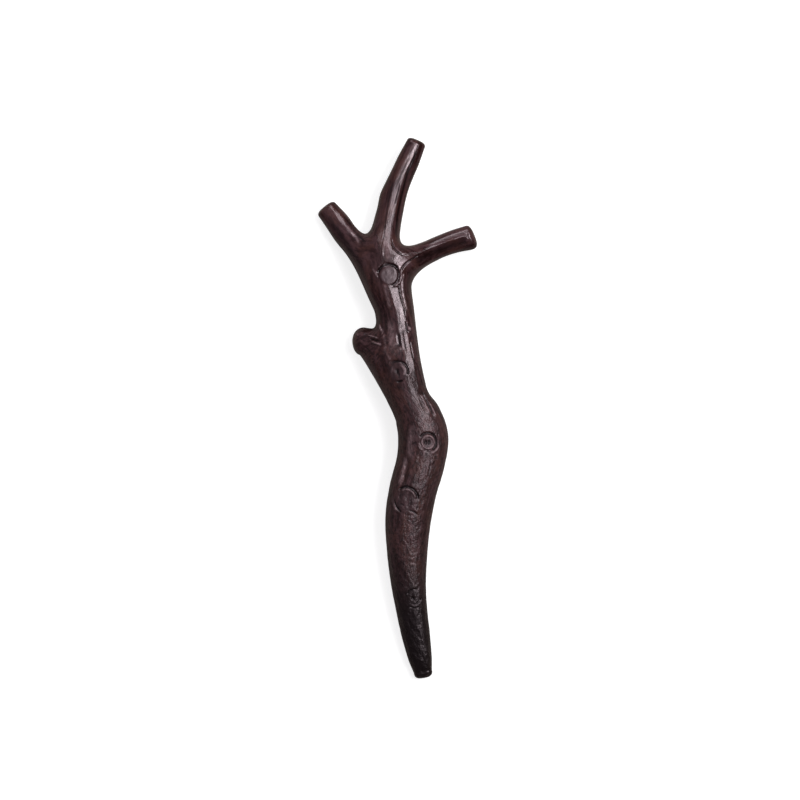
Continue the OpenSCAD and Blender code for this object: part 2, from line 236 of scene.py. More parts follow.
# Reach along the first limb and along the second one, and pull in towards the crotch. Reaches
# are shares of WEB_REACH, or at the stub of its width and of its length.
RIGHT_UNDER_WEB = (0.0, 1.0, 0.36)
RIGHT_WEB = (1.1, 0.6, 0.65)
LEFT_WEB = (1.0, 1.8, 0.75)
LEFT_UNDER_WEB = (1.2, 0.0, 0.36)
NOTCH_WEB = (1.3, 0.80, 0.45)
STUB_UNDER_WEB = (1.7, 1.00, 0.06)
# Bulge of each blunt end past its last section and its slant, as shares of the half width, and
# how square it is
MIDDLE_END = (0.50, 0.00, END_SQUARE)
LEFT_END = (0.50, 0.00, END_SQUARE)
RIGHT_END = (0.55, -0.12, END_SQUARE)
STUB_END = (0.76, -0.12, 2.0)
TIP_END = (0.75, 0.00, END_SQUARE)
END_RIBS = 22
# Spacing of the ribs along a limb, plain and where a knot needs finer ones
RIB_SPACING = 0.115
KNOT_SPACING = 0.062
SPACING_CHANGES_OVER = 0.2
SPACING_MARKS = 600
# Two places along a limb are the same one when they are closer than this, and an edge that
# starts just past the root leaves out the root's own section.
SAME_PLACE = 1e-9
PAST_ROOT = 1e-6


def spaced(length, fine_spans=()):
    """Shares from 0 to 1 of a run of this length, closer together over the fine spans in mm."""
    marks = np.linspace(0, length, SPACING_MARKS)
    spacing = np.full_like(marks, RIB_SPACING)
    for start, end in fine_spans:
        inside = np.minimum(marks - start, end - marks)
        finer = smooth(inside / SPACING_CHANGES_OVER + 0.5)
        spacing = np.minimum(spacing, mix(RIB_SPACING, KNOT_SPACING, finer))
    steps = np.concatenate([[0], np.cumsum(np.diff(marks) / spacing[1:])])
    count = int(math.ceil(steps[-1]))
    return np.interp(np.linspace(0, steps[-1], count + 1), steps, marks) / length


class Run:
    """A stretch of a limb, away from the root that a web goes round."""

    def __init__(self, arm, start, end, sections, shares, ridge_numbers):
        self.arm = arm
        self.start = start
        self.end = end
        self.sections = sections
        self.shares = shares
        self.ridge_numbers = ridge_numbers

    def on_arm(self, share):
        return mix(self.start, self.end, share)

    def section_edge(self, number, side):
        return self.arm.edge(np.array([self.on_arm(number / self.sections)]), side)[0]

    def web_ends_at(self, reach):
        """Number of the first section that a web reaching this far leaves free."""
        stands = np.arange(self.sections) / self.sections
        line = self.arm.middle(self.on_arm(stands))
        far = np.linalg.norm(line - line[0], axis=1)
        return int(np.nonzero((far < reach) | (stands == 0))[0].max()) + 1

    def inward(self, number, side):
        k = min(number, self.sections - 1)
        step = self.section_edge(k, side) - self.section_edge(k + 1, side)
        return step / np.linalg.norm(step)


# Knots
# Five knots stand on the front of the shaft, each a disc of end grain in a cut ring. A row
# gives the place along the shaft, the place across its half width to the viewer's right, the
# half sizes across and along, the height of the disc's face and how flat it is.
KNOT_ROWS = [
    [0.024, 0.07, 0.90, 0.88, 0.01, 0.7],
    [0.260, -0.08, 0.90, 0.92, -0.01, 0.45],
    [0.434, 0.22, 0.66, 0.68, 0.02, 0.3],
    [0.579, -0.23, 1.08, 1.20, 0.00, 0.3],
    [0.816, 0.22, 0.62, 0.66, 0.00, 0.2],
]
KNOT_MARGIN = 0.35
knot_spans = []
for row in KNOT_ROWS:
    reach = row[3] + KNOT_MARGIN
    knot_spans.append((row[0] * SHAFT_LENGTH - reach, row[0] * SHAFT_LENGTH + reach))
lower_length = SHAFT_LENGTH - STUB_DROP
upper_shares = spaced(STUB_DROP, knot_spans)
lower_spans = [(start - STUB_DROP, end - STUB_DROP) for start, end in knot_spans]
lower_shares = spaced(lower_length, lower_spans)

# Skin
# The ribs of the whole stick make one closed skin, finer above, where the carving is, than on
# the underside, which is finished plainly.
TOP_STEPS = 55
TOP_FINE_STEPS = 44
TOP_FINE_FROM = 30
UNDER_STEPS = 11

shaft_shares = np.concatenate([upper_shares * stub_share, mix(stub_share, 1, lower_shares[1:])])
ridge_middles = [shaft.middle(shaft_shares)]
ridge_halves = [shaft.half_and_height(shaft_shares)[0]]
ridge_heights = [shaft.half_and_height(shaft_shares)[1]]
ridge_crests = [np.outer(column(SHAFT_CREST, shaft_shares, 1), (1, 0))]
upper_count = len(upper_shares)
shaft_numbers = np.arange(len(shaft_shares))
upper = Run(shaft, 0, stub_share, SECTIONS["upper"], upper_shares, shaft_numbers[:upper_count])
upper_back = Run(shaft, stub_share, 0, SECTIONS["upper"], 1 - upper_shares[::-1],
                 shaft_numbers[:upper_count][::-1])
lower = Run(shaft, stub_share, 1, SECTIONS["lower"], lower_shares, shaft_numbers[upper_count - 1:])


def add_limb(arm, sections, root_number, crest=((0, 0), (1, 0)), way=(1, 0)):
    """Adds the ridge of a limb that grows from a ridge point; its crest strays that way."""
    shares = spaced(arm.length)
    first = sum(len(stretch) for stretch in ridge_middles)
    half, height = arm.half_and_height(shares)
    ridge_middles.append(arm.middle(shares)[1:])
    ridge_crests.append(np.outer(column(crest, shares, 1)[1:], way))
    ridge_halves.append(half[1:])
    ridge_heights.append(height[1:])
    ridge_numbers = np.concatenate([[root_number], first + np.arange(len(shares) - 1)])
    return Run(arm, 0, 1, sections, shares, ridge_numbers)


middle_run = add_limb(middle_tine, SECTIONS["middle"], 0, MIDDLE_CREST)
left_run = add_limb(left_tine, SECTIONS["side"], 0)
right_run = add_limb(right_tine, SECTIONS["side"], 0, RIGHT_CREST, (0, 1))
stub_run = add_limb(stub, SECTIONS["stub"], upper_count - 1)

walk_ridges = []
walk_points = []


def add_stops(ridges, points):
    walk_ridges.extend(int(ridge) for ridge in ridges)
    walk_points.extend(points)


def free_edge(run, side, first, outward, last=None):
    """The outline along a limb, between sections that its webs leave free."""
    place = run.shares * run.sections
    keep = place >= first - SAME_PLACE
    if last is not None:
        keep &= place <= last + SAME_PLACE
    shares = run.on_arm(run.shares[keep])
    order = slice(None) if outward else slice(None, None, -1)
    add_stops(run.ridge_numbers[keep][order], run.arm.edge(shares, side)[order])


def web(a, a_side, a_reach, b, b_side, b_reach, pull):
    """The outline round a crotch, from an edge of limb a to an edge of limb b."""
    i = a.web_ends_at(a_reach)
    j = b.web_ends_at(b_reach)
    p = a.section_edge(i, a_side)
    q = b.section_edge(j, b_side)
    handle = pull * np.linalg.norm(q - p)
    p_in = p + handle * a.inward(i, a_side)
    q_in = q + handle * b.inward(j, b_side)
    a_place = a.shares * a.sections
    b_place = b.shares * b.sections
    a_keep = a_place < i - SAME_PLACE
    b_keep = (b_place > SAME_PLACE) & (b_place < j - SAME_PLACE)
    t = np.concatenate([(i - a_place[a_keep])[::-1], i + b_place[b_keep]]) / (i + j)
    t = t[:, None]
    points = (p * (1 - t) ** 3 + 3 * p_in * t * (1 - t) ** 2
              + 3 * q_in * t * t * (1 - t) + q * t ** 3)
    ridges = np.concatenate([a.ridge_numbers[a_keep][::-1], b.ridge_numbers[b_keep]])
    add_stops(ridges, points)


def blunt_end(run, end):
    """The outline round the end of a limb: a bulge past it, slanted and squared."""
    bulge, slant, square = end
    share = np.array([run.on_arm(1.0)])
    left = run.arm.edge(share, LEFT)[0]
    right = run.arm.edge(share, RIGHT)[0]
    centre = (left + right) / 2
    half = (left - right) / 2
    out = np.array([half[1], -half[0]])
    turn = np.radians(180 * np.arange(1, END_RIBS) / END_RIBS - 90)
    side = np.sign(turn) * np.abs(np.sin(turn)) ** (2 / square)
    reach = np.cos(turn) ** (2 / square) * (bulge + slant * side)
    add_stops([run.ridge_numbers[-1]] * len(turn),
              centre + np.outer(side, half) + np.outer(reach, out))


def tines_part_at(turn):
    """How far from the fork the edges of two tines part that stand this many degrees apart."""
    angle = math.radians(turn)
    return TINE_WIDTH * (1 + math.cos(angle)) / 2 / math.sin(angle)


def web_reaches(clear, shares):
    """How far from the fork a web ends on its two limbs, which part at this distance."""
    return clear + WEB_REACH * shares[0], clear + WEB_REACH * shares[1]


shaft_left_reach, right_under_reach = web_reaches(SHAFT_WIDTH / 2, RIGHT_UNDER_WEB)
right_reach, middle_right_reach = web_reaches(tines_part_at(MIDDLE_TURN - RIGHT_TURN), RIGHT_WEB)
middle_left_reach, left_reach = web_reaches(tines_part_at(LEFT_TURN - MIDDLE_TURN), LEFT_WEB)
left_under_reach, shaft_right_reach = web_reaches(SHAFT_WIDTH / 2, LEFT_UNDER_WEB)
notch_reach = STUB_WIDTH * NOTCH_WEB[0]
notch_stub_reach = STUB_LENGTH * NOTCH_WEB[1]
under_reach = STUB_WIDTH * STUB_UNDER_WEB[0]
under_stub_reach = STUB_LENGTH * STUB_UNDER_WEB[1]

free_edge(lower, LEFT, PAST_ROOT, outward=False)
free_edge(upper, LEFT, upper.web_ends_at(shaft_left_reach), outward=False)
web(upper, LEFT, shaft_left_reach, right_run, RIGHT, right_under_reach, RIGHT_UNDER_WEB[2])
free_edge(right_run, RIGHT, right_run.web_ends_at(right_under_reach), outward=True)
blunt_end(right_run, RIGHT_END)
free_edge(right_run, LEFT, right_run.web_ends_at(right_reach), outward=False)
web(right_run, LEFT, right_reach, middle_run, RIGHT, middle_right_reach, RIGHT_WEB[2])
free_edge(middle_run, RIGHT, middle_run.web_ends_at(middle_right_reach), outward=True)
blunt_end(middle_run, MIDDLE_END)
free_edge(middle_run, LEFT, middle_run.web_ends_at(middle_left_reach), outward=False)
web(middle_run, LEFT, middle_left_reach, left_run, RIGHT, left_reach, LEFT_WEB[2])
free_edge(left_run, RIGHT, left_run.web_ends_at(left_reach), outward=True)
blunt_end(left_run, LEFT_END)
free_edge(left_run, LEFT, left_run.web_ends_at(left_under_reach), outward=False)
web(left_run, LEFT, left_under_reach, upper, RIGHT, shaft_right_reach, LEFT_UNDER_WEB[2])
free_edge(upper, RIGHT, upper.web_ends_at(shaft_right_reach), outward=True,
          last=SECTIONS["upper"] - upper_back.web_ends_at(notch_reach))
web(upper_back, RIGHT, notch_reach, stub_run, RIGHT, notch_stub_reach, NOTCH_WEB[2])
free_edge(stub_run, RIGHT, stub_run.web_ends_at(notch_stub_reach), outward=True)
blunt_end(stub_run, STUB_END)
free_edge(stub_run, LEFT, stub_run.web_ends_at(under_stub_reach), outward=False)
web(stub_run, LEFT, under_stub_reach, lower, RIGHT, under_reach, STUB_UNDER_WEB[2])
free_edge(lower, RIGHT, lower.web_ends_at(under_reach), outward=True)
blunt_end(lower, TIP_END)

middles = np.concatenate(ridge_middles)
crests = middles + np.concatenate(ridge_crests)
halves = np.concatenate(ridge_halves)
heights = np.concatenate(ridge_heights)
outline = np.array(walk_points)
ridge_of = np.array(walk_ridges)
home = np.array([
    -(outline[:, 0].min() + outline[:, 0].max()) / 2,
    -(outline[:, 1].min() + outline[:, 1].max()) / 2,
    -(heights - halves).min(),
])
stops = len(outline)


def ribs(angles, side):
    """Points of every rib at these angles, from 0 at the edge to 90 degrees at the ridge."""
    turn = np.radians(angles)[None, :]
    power = 2 / BODY_SQUARE
    run_in = np.cos(turn) ** power
    ridge = (crests if side > 0 else middles)[ridge_of][:, None, :]
    flat = ridge + (outline[:, None, :] - ridge) * run_in[..., None]
    up = heights[ridge_of][:, None] + side * halves[ridge_of][:, None] * np.sin(turn) ** power
    return np.concatenate([flat, up[..., None]], axis=2)


coarse = np.linspace(0, TOP_FINE_FROM, TOP_STEPS - TOP_FINE_STEPS + 1)
fine = np.linspace(TOP_FINE_FROM, 90, TOP_FINE_STEPS + 1)
top_angles = np.concatenate([coarse, fine[1:]])
under_angles = np.linspace(0, 90, UNDER_STEPS + 1)
top_ribs = ribs(top_angles, 1)
under_ribs = ribs(under_angles, -1)
ridge_tops = np.column_stack([crests, heights + halves])
ridge_feet = np.column_stack([middles, heights - halves])
skin = np.concatenate([
    top_ribs[:, 0], top_ribs[:, 1:-1].reshape(-1, 3), under_ribs[:, 1:-1].reshape(-1, 3),
    ridge_tops, ridge_feet,
])


def rib_points(count, inner_from, ridges_from):
    """Numbers of the points of every rib, from its edge to its ridge."""
    inner = inner_from + np.arange(stops * (count - 1)).reshape(stops, count - 1)
    return np.column_stack([np.arange(stops), inner, ridges_from + ridge_of])


under_first = stops + stops * (TOP_STEPS - 1)
ridge_first = under_first + stops * (UNDER_STEPS - 1)
feet_first = ridge_first + len(middles)
faces = []
for behind, above in ((rib_points(TOP_STEPS, stops, ridge_first), True),
                      (rib_points(UNDER_STEPS, under_first, feet_first), False)):
    ahead = np.roll(behind, -1, axis=0)
    quads = np.stack([behind[:, :-1], ahead[:, :-1], ahead[:, 1:], behind[:, 1:]], axis=-1)
    if not above:
        quads = quads[..., ::-1]
    # Where two ribs meet at one ridge point, the last face is a triangle.
    for quad in quads.reshape(-1, 4).tolist():
        faces.append(quad if len(set(quad)) == 4 else list(dict.fromkeys(quad)))

stick_mesh = bpy.data.meshes.new("carved_stick")
stick_mesh.from_pydata((skin + home).tolist(), [], faces)
stick_mesh.update()
links = np.empty(len(stick_mesh.edges) * 2, dtype=int)
stick_mesh.edges.foreach_get("vertices", links)
links = links.reshape(-1, 2)

# Creases between the limbs that are rubbed smooth: [place, reach, rounds of rubbing], for the
# fork, the stub and the crotches of the left and the right tine
CREASES = [
    [(0.3, 0.6), 4.6, 160],
    [(-1.3, -6.7), 2.0, 60],
    [(-3.5, 3.2), 2.2, 60],
    [(3.8, 1.4), 2.2, 60],
]
RUB_FADES_OVER = 0.4
RUB_PACE = 0.7


def rub_smooth(centre, reach, rounds):
    """Rubs the creases smooth round a place and leaves the outline alone."""
    far = np.linalg.norm(skin[:, :2] - centre, axis=1)
    weight = smooth((reach - far) / (RUB_FADES_OVER * reach))
    weight[:stops] = 0
    moving = np.nonzero(weight)[0]
    a, b = links[(weight[links] > 0).any(axis=1)].T
    count = np.bincount(np.concatenate([a, b]), minlength=len(skin))[moving, None]
    for _ in range(rounds):
        total = [np.bincount(a, skin[b, k], len(skin)) + np.bincount(b, skin[a, k], len(skin))
                 for k in range(3)]
        average = np.stack(total, axis=1)[moving] / count
        skin[moving] += RUB_PACE * weight[moving, None] * (average - skin[moving])


for centre, reach, rounds in CREASES:
    rub_smooth(centre, reach, rounds)
stick_mesh.vertices.foreach_set("co", (skin + home).ravel())
stick_mesh.update()
normals = np.empty(len(skin) * 3)
stick_mesh.vertex_normals.foreach_get("vector", normals)
normals = normals.reshape(-1, 3)

# Grain
# The grain runs up the shaft into the middle tine, and bends out into the side tines and the
# stub. Each point of the skin gets a place across, along and down through the grain, in mm.
BEND_FROM = 0.6
BEND_OVER = 2.6
TRUNK_STOPS = 120

trunk_shares = np.linspace(0, 1, TRUNK_STOPS)
trunk = np.concatenate([shaft.middle(trunk_shares)[::-1], middle_tine.middle(trunk_shares)[1:]])
across = skin[:, 0] - np.interp(skin[:, 1], trunk[:, 1], trunk[:, 0])
grain = np.column_stack([across, skin[:, 1], skin[:, 2]])
owner = np.concatenate([ridge_of, np.repeat(ridge_of, TOP_STEPS - 1),
                        np.repeat(ridge_of, UNDER_STEPS - 1),
                        np.arange(len(middles)), np.arange(len(middles))])
for run in (left_run, right_run, stub_run):
    arm = run.arm
    away = skin[:, :2] - arm.root
    out_along = away @ arm.out
    own = (owner >= run.ridge_numbers[1]) & (owner <= run.ridge_numbers[-1])
    bend = smooth((out_along - BEND_FROM) / BEND_OVER) * own
    turned = np.column_stack([-(away @ arm.left), arm.root[1] + out_along, skin[:, 2]])
    grain = mix(grain, turned, bend[:, None])

# Carved face
# The carver worked the front with small gouges: knots ringed and hollowed, facets planed along
# the tines and the shaft, and grooves beside them. Every cut moves the skin along its normal.
FRONT_FACES_UP = -0.05
# A cut is followed in steps of this length, its surroundings reach this share of its half width,
# and past its ends a distance counts for a little less than across it.
COURSE_STEP = 0.04
SURROUNDINGS = 1.5
PAST_ENDS = 0.98
SHORTEST_FADE = 0.01
push = np.zeros(len(skin))
# Painted shade (over zero) and painted highlight (under zero) that the cuts lay on the colour
painted_shade_and_highlight = np.zeros(len(skin))
disc = np.zeros(len(skin))
on_front = (normals[:, 2] > FRONT_FACES_UP) & (np.arange(len(skin)) < under_first)
on_front[ridge_first:feet_first] = True
front = np.nonzero(on_front)[0]
front_tree = kdtree.KDTree(len(front))
for number, place in zip(front.tolist(), skin[front].tolist()):
    front_tree.insert((place[0], place[1], 0), number)
front_tree.balance()


def on_skin(x, y):
    return front_tree.find((x, y, 0))[1]


def take_off(touched, depth, painted_share=1.0):
    """Cut this much off the skin at these points; a depth under zero leaves it standing proud.

    The last argument sets how much painted shade a cut gets for its depth, or how much painted
    highlight pales a proud place.
    """
    push[touched] -= depth
    painted_shade_and_highlight[touched] += depth * painted_share


def gouge(points, half_width, depth, fade, flat=False, painted_share=1.0):
    """A cut or a flat facet along a smooth line through these places, from the fork in mm."""
    places = np.array(points, dtype=float)
    lengths = np.concatenate([[0], np.cumsum(np.linalg.norm(np.diff(places, axis=0), axis=1))])
    rows = np.column_stack([lengths, places])
    along = np.linspace(0, lengths[-1], max(4, int(lengths[-1] / COURSE_STEP)))
    course = np.column_stack([column(rows, along, 1), column(rows, along, 2)])
    nearest = [on_skin(x, y) for x, y in course.tolist()]
    line = np.column_stack([course, skin[nearest][:, 2]])
    forward = np.gradient(line, axis=0)
    sideways = np.cross(normals[nearest], forward)
    sideways /= np.linalg.norm(sideways, axis=1, keepdims=True)
    margin = half_width * SURROUNDINGS
    plan = skin[front][:, :2]
    inside = (plan > course.min(axis=0) - margin) & (plan < course.max(axis=0) + margin)
    near = front[inside.all(axis=1)]
    gaps = skin[near][:, None, :] - line[None, :, :]
    closest = (gaps ** 2).sum(axis=2).argmin(axis=1)
    gap = gaps[np.arange(len(near)), closest]
    off = (gap * sideways[closest]).sum(axis=1) / half_width
    past = np.linalg.norm(gap, axis=1) / half_width
    t = np.maximum(np.abs(off), past * PAST_ENDS)
    stand = along[closest]
    fade_in = smooth(stand / max(fade[0], SHORTEST_FADE))
    taper = fade_in * smooth((lengths[-1] - stand) / max(fade[1], SHORTEST_FADE))
    if flat:
        profile = np.clip(1 - t * t, 0, 1)
    else:
        profile = 0.5 + 0.5 * np.cos(math.pi * np.clip(t, 0, 1))
    take_off(near, depth * profile * taper, painted_share)


# Facets planed along the crown: [half width, depth, fades at its two ends, places]
CROWN_FACETS = [
    [0.20, 0.012, (0.8, 0.8), [(2.49, 10.5), (1.96, 9.72), (1.59, 9.04), (1.05, 7.84),
                               (0.83, 7.1), (0.60, 6.1), (0.38, 5.12), (0.23, 4.2),
                               (0.11, 3.3), (0.03, 2.4)]],
    [0.54, 0.125, (0.8, 0.1), [(2.3, 0.05), (2.78, 0.35), (3.66, 0.87), (4.75, 1.37), (5.95, 1.82),
                               (7.30, 2.22)]],
    [0.17, 0.012, (0.3, 0.8), [(-4.75, 5.35), (-4.2, 4.25), (-3.75, 3.6)]],
]
# Grooves and low ridges of the crown, in rows of the same kind; a ridge's depth is under zero
CROWN_GROOVES = [
    [0.10, 0.045, (0.5, 0.8), [(1.25, 7.6), (0.95, 6.4), (0.7, 5.3)]],
    [0.12, 0.080, (0.6, 0.8), [(0.45, 2.5), (0.55, 1.95), (0.8, 1.45), (1.2, 1.1), (1.6, 0.95),
                               (2.1, 1.0)]],
    [0.10, -0.040, (0.3, 0.3), [(0.8, 1.8), (1.05, 1.4), (1.4, 1.2)]],
    [0.13, -0.055, (0.1, 0.1), [(7.05, 2.92), (7.15, 2.98), (7.25, 3.02)]],
    [0.09, 0.050, (0.3, 0.3), [(1.0, 2.0), (1.25, 1.55), (1.65, 1.3)]],
    [0.13, 0.075, (0.4, 0.8), [(1.35, -0.75), (1.35, -0.35), (1.75, 0.2), (2.5, 0.75),
                               (3.2, 1.15)]],
    [0.12, -0.040, (0.4, 0.4), [(-0.2, 2.6), (-0.35, 1.75), (-0.35, 0.7)]],
    [0.15, -0.055, (0.2, 0.3), [(-1.33, -0.17), (-1.01, -0.72), (-0.76, -1.22)]],
]
# Painted shade in thin lines on each side of the crests, barely cut into the skin
PAINTED_SHADE_LINES = [
    [0.13, 0.006, (0.8, 0.8), [(0.62, 7.84), (0.40, 6.93), (0.20, 6.03), (0.04, 5.12),
                               (-0.13, 3.76), (-0.28, 2.40), (-0.38, 1.5)]],
    [0.22, 0.008, (0.3, 0.8), [(2.78, 10.5), (2.30, 9.4), (1.88, 8.38), (1.50, 6.93),
                               (1.08, 5.12), (0.90, 3.76), (0.80, 2.40)]],
    [0.17, 0.007, (0.4, 0.5), [(-4.02, 4.67), (-3.12, 3.49), (-2.22, 2.40), (-1.85, 1.86)]],
    [0.42, 0.005, (0.8, 1.0), [(-5.45, 4.6), (-4.65, 3.45), (-3.85, 2.3), (-3.0, 1.0),
                               (-2.15, -0.75), (-1.45, -2.1)]],
]
# Facets of the shaft, from the fork to just past the bend
SHAFT_FACETS = [
    [0.36, 0.036, (0.2, 0.8), [(0.65, -1.8), (0.9, -2.85), (1.1, -3.65), (1.35, -4.65),
                               (1.42, -5.45), (1.45, -6.25)]],
    [0.34, 0.034, (0.4, 0.8), [(1.38, -5.5), (1.62, -6.6), (1.84, -7.6), (2.07, -8.65),
                               (2.28, -9.7)]],
    [0.38, 0.062, (0.9, 0.9), [(1.95, -8.1), (2.10, -8.8), (2.30, -9.7), (2.50, -10.7),
                               (2.70, -11.6)]],
    [0.20, 0.024, (0.4, 0.6), [(3.15, -11.7), (3.55, -12.5), (3.9, -13.3)]],
    [0.22, 0.020, (0.5, 0.8), [(3.55, -16.8), (3.7, -17.45), (3.7, -18.05)]],
]
# Grooves and low ridges of the shaft, as far down as its fourth knot, and the stub's folds
SHAFT_GROOVES = [
    [0.10, 0.060, (0.5, 0.8), [(1.05, -1.35), (1.15, -2.05), (1.25, -2.7), (1.5, -3.55),
                               (1.65, -4.15), (1.75, -4.8)]],
    [0.15, -0.060, (0.3, 1.2), [(1.6, -0.6), (1.5, -1.05), (1.45, -1.55), (1.5, -2.3),
                                (1.65, -3.1), (1.85, -3.95), (1.95, -4.65)]],
    [0.24, 0.075, (0.6, 0.6), [(1.0, -5.9), (1.08, -6.7), (1.2, -7.5), (1.3, -8.1)]],
    [0.08, 0.035, (0.3, 0.6), [(1.40, -5.7), (1.57, -6.66), (1.80, -8.05)]],
    [0.14, 0.060, (0.8, 1.2), [(2.05, -6.4), (2.25, -7.5), (2.45, -8.35), (2.8, -9.1),
                               (3.05, -10.1), (3.35, -11.3)]],
    [0.12, 0.050, (0.3, 0.4), [(-0.15, -5.05), (-0.2, -5.75), (-0.4, -6.3), (-0.75, -6.35)]],
    [0.16, -0.100, (0.2, 0.3), [(-0.62, -5.2), (-0.58, -5.6), (-0.48, -6.0)]],
    [0.13, -0.140, (0.3, 0.4), [(-1.75, -6.25), (-1.25, -6.4), (-0.65, -6.6)]],
    [0.11, 0.090, (0.3, 0.3), [(-1.65, -6.58), (-1.15, -6.7), (-0.6, -6.87)]],
    [0.14, -0.150, (0.3, 0.2), [(-1.4, -6.85), (-0.85, -7.05), (-0.45, -7.17)]],
    [0.13, -0.060, (0.1, 0.1), [(-2.78, -6.10), (-2.66, -6.22), (-2.56, -6.36)]],
    [0.10, 0.050, (0.3, 0.4), [(-2.05, -7.3), (-1.6, -7.65), (-1.25, -8.1)]],
    [0.10, 0.045, (0.3, 0.4), [(-2.35, -7.55), (-1.9, -7.95), (-1.55, -8.45)]],
    [0.14, -0.045, (0.3, 0.3), [(-0.15, -7.6), (0.1, -8.15), (0.4, -8.7)]],
    [0.13, 0.140, (0.5, 0.3), [(3.2, -11.3), (3.44, -11.78), (3.72, -12.34), (3.96, -12.86),
                               (4.20, -13.49)]],
    [0.10, 0.060, (0.4, 0.3), [(2.9, -11.8), (3.2, -12.6), (3.5, -13.3)]],
    [0.14, -0.080, (0.3, 0.3), [(3.09, -11.6), (3.44, -12.34), (3.68, -12.85), (3.94, -13.38)]],
    [0.14, -0.100, (0.3, 0.3), [(3.74, -12.2), (4.0, -12.7), (4.25, -13.2), (4.5, -13.66)]],
    [0.12, -0.055, (0.2, 0.4), [(2.8, -15.95), (3.1, -16.3), (3.4, -16.7)]],
    [0.12, 0.060, (0.3, 0.2), [(2.05, -16.2), (2.4, -16.1), (2.7, -15.9)]],
    [0.10, 0.050, (0.3, 0.4), [(3.98, -17.3), (3.95, -18.05), (3.85, -18.8)]],
    [0.11, 0.090, (0.2, 0.3), [(1.95, -22.1), (2.4, -22.25), (2.85, -22.55)]],
    [0.10, -0.050, (0.2, 0.2), [(2.4, -21.95), (2.65, -22.1), (2.85, -22.3)]],
]
# Streaks of painted sheen, raised too little to see and paled by their colour
PAINTED_SHEEN_STREAKS = [
    [0.26, -0.0070, (0.5, 0.6), [(-3.80, 3.90), (-3.50, 3.49), (-2.69, 2.40), (-2.25, 1.78)]],
    [0.45, -0.0062, (0.6, 0.3), [(-0.10, 2.6), (0.05, 1.6), (0.15, 0.5)]],
    [0.30, -0.0060, (0.3, 0.6), [(-0.24, -1.60), (-0.06, -2.13), (0.12, -3.03), (0.39, -4.12)]],
    [0.55, -0.0064, (1.1, 1.1), [(0.20, -4.5), (0.39, -5.75), (0.48, -7.1), (0.39, -8.3)]],
    [0.20, -0.0060, (0.4, 0.7), [(-0.60, -5.4), (-0.28, -6.3), (-0.10, -7.2), (-0.28, -8.2)]],
    [0.46, -0.0042, (0.9, 0.9), [(1.70, -16.8), (1.60, -18.0), (1.24, -19.3), (1.05, -20.3)]],
    [0.55, -0.0058, (0.9, 0.9), [(2.35, -14.2), (2.20, -15.4), (2.10, -16.7), (2.20, -17.9)]],
]
# A wide trough under the bend, which gets no painted shade
SHAFT_HOLLOWS = [
    [0.46, 0.210, (0.8, 0.6), [(1.96, -16.9), (1.84, -17.5), (1.66, -18.4), (1.48, -19.3),
                               (1.43, -19.9)]],
]
# The order of carving: [cuts, whether they are planed flat, share of painted shade or highlight].
# Cuts and facets get painted shade by their depth and ridges painted highlight; the painted shade
# lines and the painted sheen streaks are colour more than depth.
CUTS = [
    [SHAFT_HOLLOWS, False, 0.0],
    # The crown's facets get painted shade, darkest on the wide one along the right tine.
    [CROWN_FACETS, True, 0.42],
    [SHAFT_FACETS, True, 0.3],
    [CROWN_GROOVES, False, 1.0],
    [SHAFT_GROOVES, False, 1.0],
    [PAINTED_SHADE_LINES, False, 9.0],
    [PAINTED_SHEEN_STREAKS, False, 9.0],
]
for cut_rows, flat, painted_share in CUTS:
    for half_width, depth, fades, places in cut_rows:
        gouge(places, half_width, depth, fades, flat, painted_share)

# Cuts round and on the knots: [knot, share of its size, first and last angle anticlockwise
# from the viewer's right, half width, depth]
# A cut ring gets painted shade and a raised ring painted highlight, by its depth.
KNOT_RINGS = [
    [0, 1.11, 30, 172, 0.16, 0.170],
    [0, 1.07, -85, 45, 0.11, 0.110],
    [0, 1.06, 165, 200, 0.08, 0.020],
    [0, 1.32, -70, 30, 0.12, -0.040],
    [1, 1.03, -28, 155, 0.14, 0.140],
    [1, 0.98, 245, 300, 0.14, 0.120],
    [1, 0.66, -50, 70, 0.17, -0.070],
    [1, 0.75, 120, 190, 0.14, -0.040],
    [2, 0.84, 0, 360, 0.12, -0.110],
    [2, 1.24, -62, 150, 0.14, 0.180],
    [2, 1.56, -75, -5, 0.13, -0.130],
    [2, 1.35, 190, 238, 0.13, -0.080],
    [3, 1.02, 8, 145, 0.15, 0.140],
    [3, 0.82, 15, 130, 0.13, -0.070],
    [3, 0.96, 188, 262, 0.13, 0.110],
    [3, 1.14, 170, 240, 0.13, -0.050],
    [4, 1.05, 55, 165, 0.12, 0.100],
    [4, 1.00, -85, -15, 0.13, 0.140],
    [4, 1.28, 228, 300, 0.12, -0.090],
    [4, 1.55, 232, 290, 0.10, 0.080],
]
